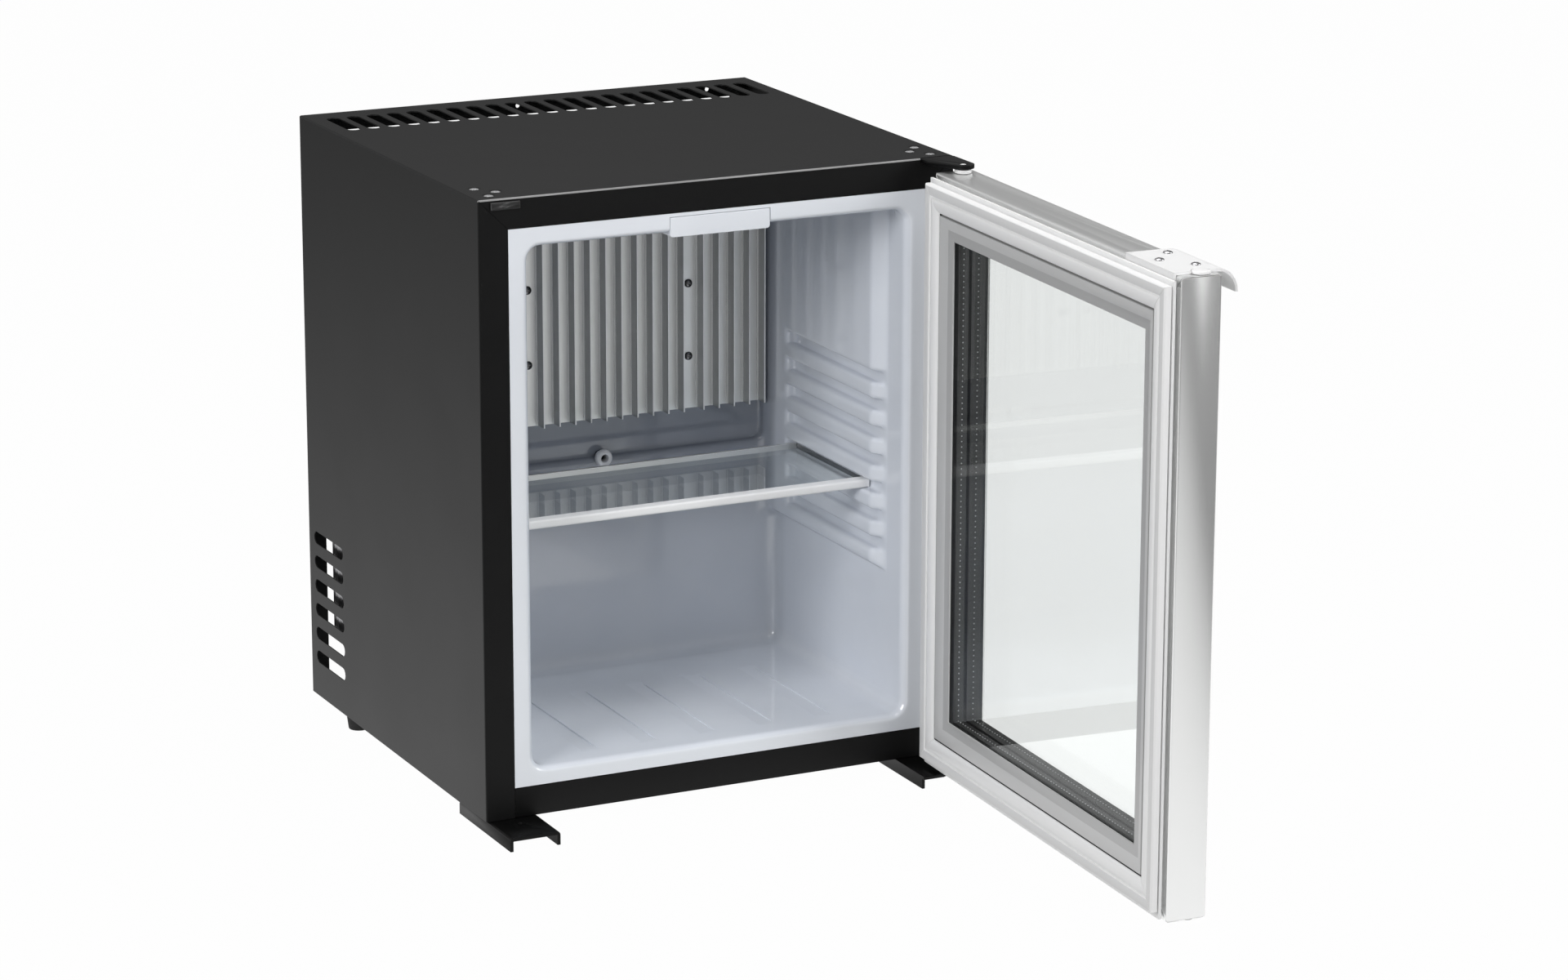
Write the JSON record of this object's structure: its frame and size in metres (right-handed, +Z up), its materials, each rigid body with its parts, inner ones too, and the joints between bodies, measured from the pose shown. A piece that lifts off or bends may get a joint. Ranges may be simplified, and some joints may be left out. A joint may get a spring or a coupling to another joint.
{
  "type": "minibar fridge",
  "caption": "Black countertop absorption minibar with a triple-glazed hinged door, a white ribbed liner, a glass shelf that slides out and a finned cooling plate.",
  "frame": {"origin": "middle of the casing's underside", "axes": "+X towards the door's hinge, +Y towards the back, +Z up; at rest the door stands open"},
  "size_m": [0.4099, 0.8003, 0.5005],
  "materials": {
    "casing": "matte charcoal black enamel on steel sheet",
    "liner": "glossy cool white vacuum-formed plastic",
    "white_trim": "smooth white moulding",
    "black_plastic": "satin black moulding",
    "foam": "pale yellow rigid foam",
    "galvanised": "bright galvanised sheet",
    "black_steel": "satin black paint on steel",
    "pins": "bright turned steel",
    "screws": "zinc plated",
    "aluminium": "plain mill finish",
    "door_frame": "satin anodised profile",
    "bead": "matte grey profile",
    "gasket": "soft white magnetic seal",
    "rubber": "black rubber",
    "glass": "clear float glass"
  },
  "bodies": {
    "cabinet": {"casing_wrap": "casing", "lower_front_rail": "casing", "bottom_panel": "casing", "cabinet_back_panel": "galvanised", "hinge_slot_plug": "black_plastic", "inner_liner": "liner", "insulation_foam": "foam", "evaporator_plate": "aluminium", "evaporator_screw_1": "screws", "evaporator_screw_2": "screws", "evaporator_screw_3": "screws", "evaporator_screw_4": "screws", "lamp_cover": "white_trim", "light_module": "white_trim", "drain_collar": "white_trim", "upper_hinge_bracket": "black_steel", "upper_hinge_pin": "pins", "lower_bracket_right": "black_steel", "lower_hinge_pin": "pins", "lower_bracket_left": "black_steel", "rear_foot_left": "rubber", "rear_foot_right": "rubber", "boiler_jacket": "galvanised", "pump_tube": "black_steel", "condenser": "black_steel", "absorber_vessel": "black_steel", "absorber_coil": "black_steel", "cold_tube": "aluminium", "plug_block": "black_plastic", "drain_hose": "rubber", "drip_tray": "black_plastic", "heater_cartridge": "pins", "control_box": "black_plastic", "vessel_bracket_left": "galvanised", "vessel_bracket_right": "galvanised", "jacket_bracket": "galvanised"},
    "door": {"door_rail_hinge": "door_frame", "door_rail_free": "door_frame", "door_rail_top": "door_frame", "door_rail_bottom": "door_frame", "bead_frame": "bead", "door_gasket": "gasket", "pane_outer": "glass", "pane_middle": "glass", "pane_inner": "glass", "spacer_outer": "aluminium", "spacer_inner": "aluminium", "glazing_seal": "rubber", "door_handle": "white_trim", "handle_screw_1": "screws", "handle_screw_2": "screws", "handle_screw_3": "screws", "hinge_bush_top": "white_trim", "hinge_bush_bottom": "black_plastic", "free_plug_top": "white_trim", "free_plug_bottom": "black_plastic"},
    "shelf": {"shelf_glass": "glass", "shelf_front_trim": "white_trim", "shelf_rear_trim": "aluminium"}
  },
  "joints": [
    {"name": "door_hinge", "type": "hinge", "parent": "cabinet", "child": "door", "pos_m": [0.192, -0.2195, 0.24], "axis": [0, 0, 1], "range_deg": [-87.6, 92.4]},
    {"name": "shelf_slide", "type": "slide", "parent": "cabinet", "child": "shelf", "axis": [0, -1, 0], "range_m": [0, 0.055]}
  ]
}
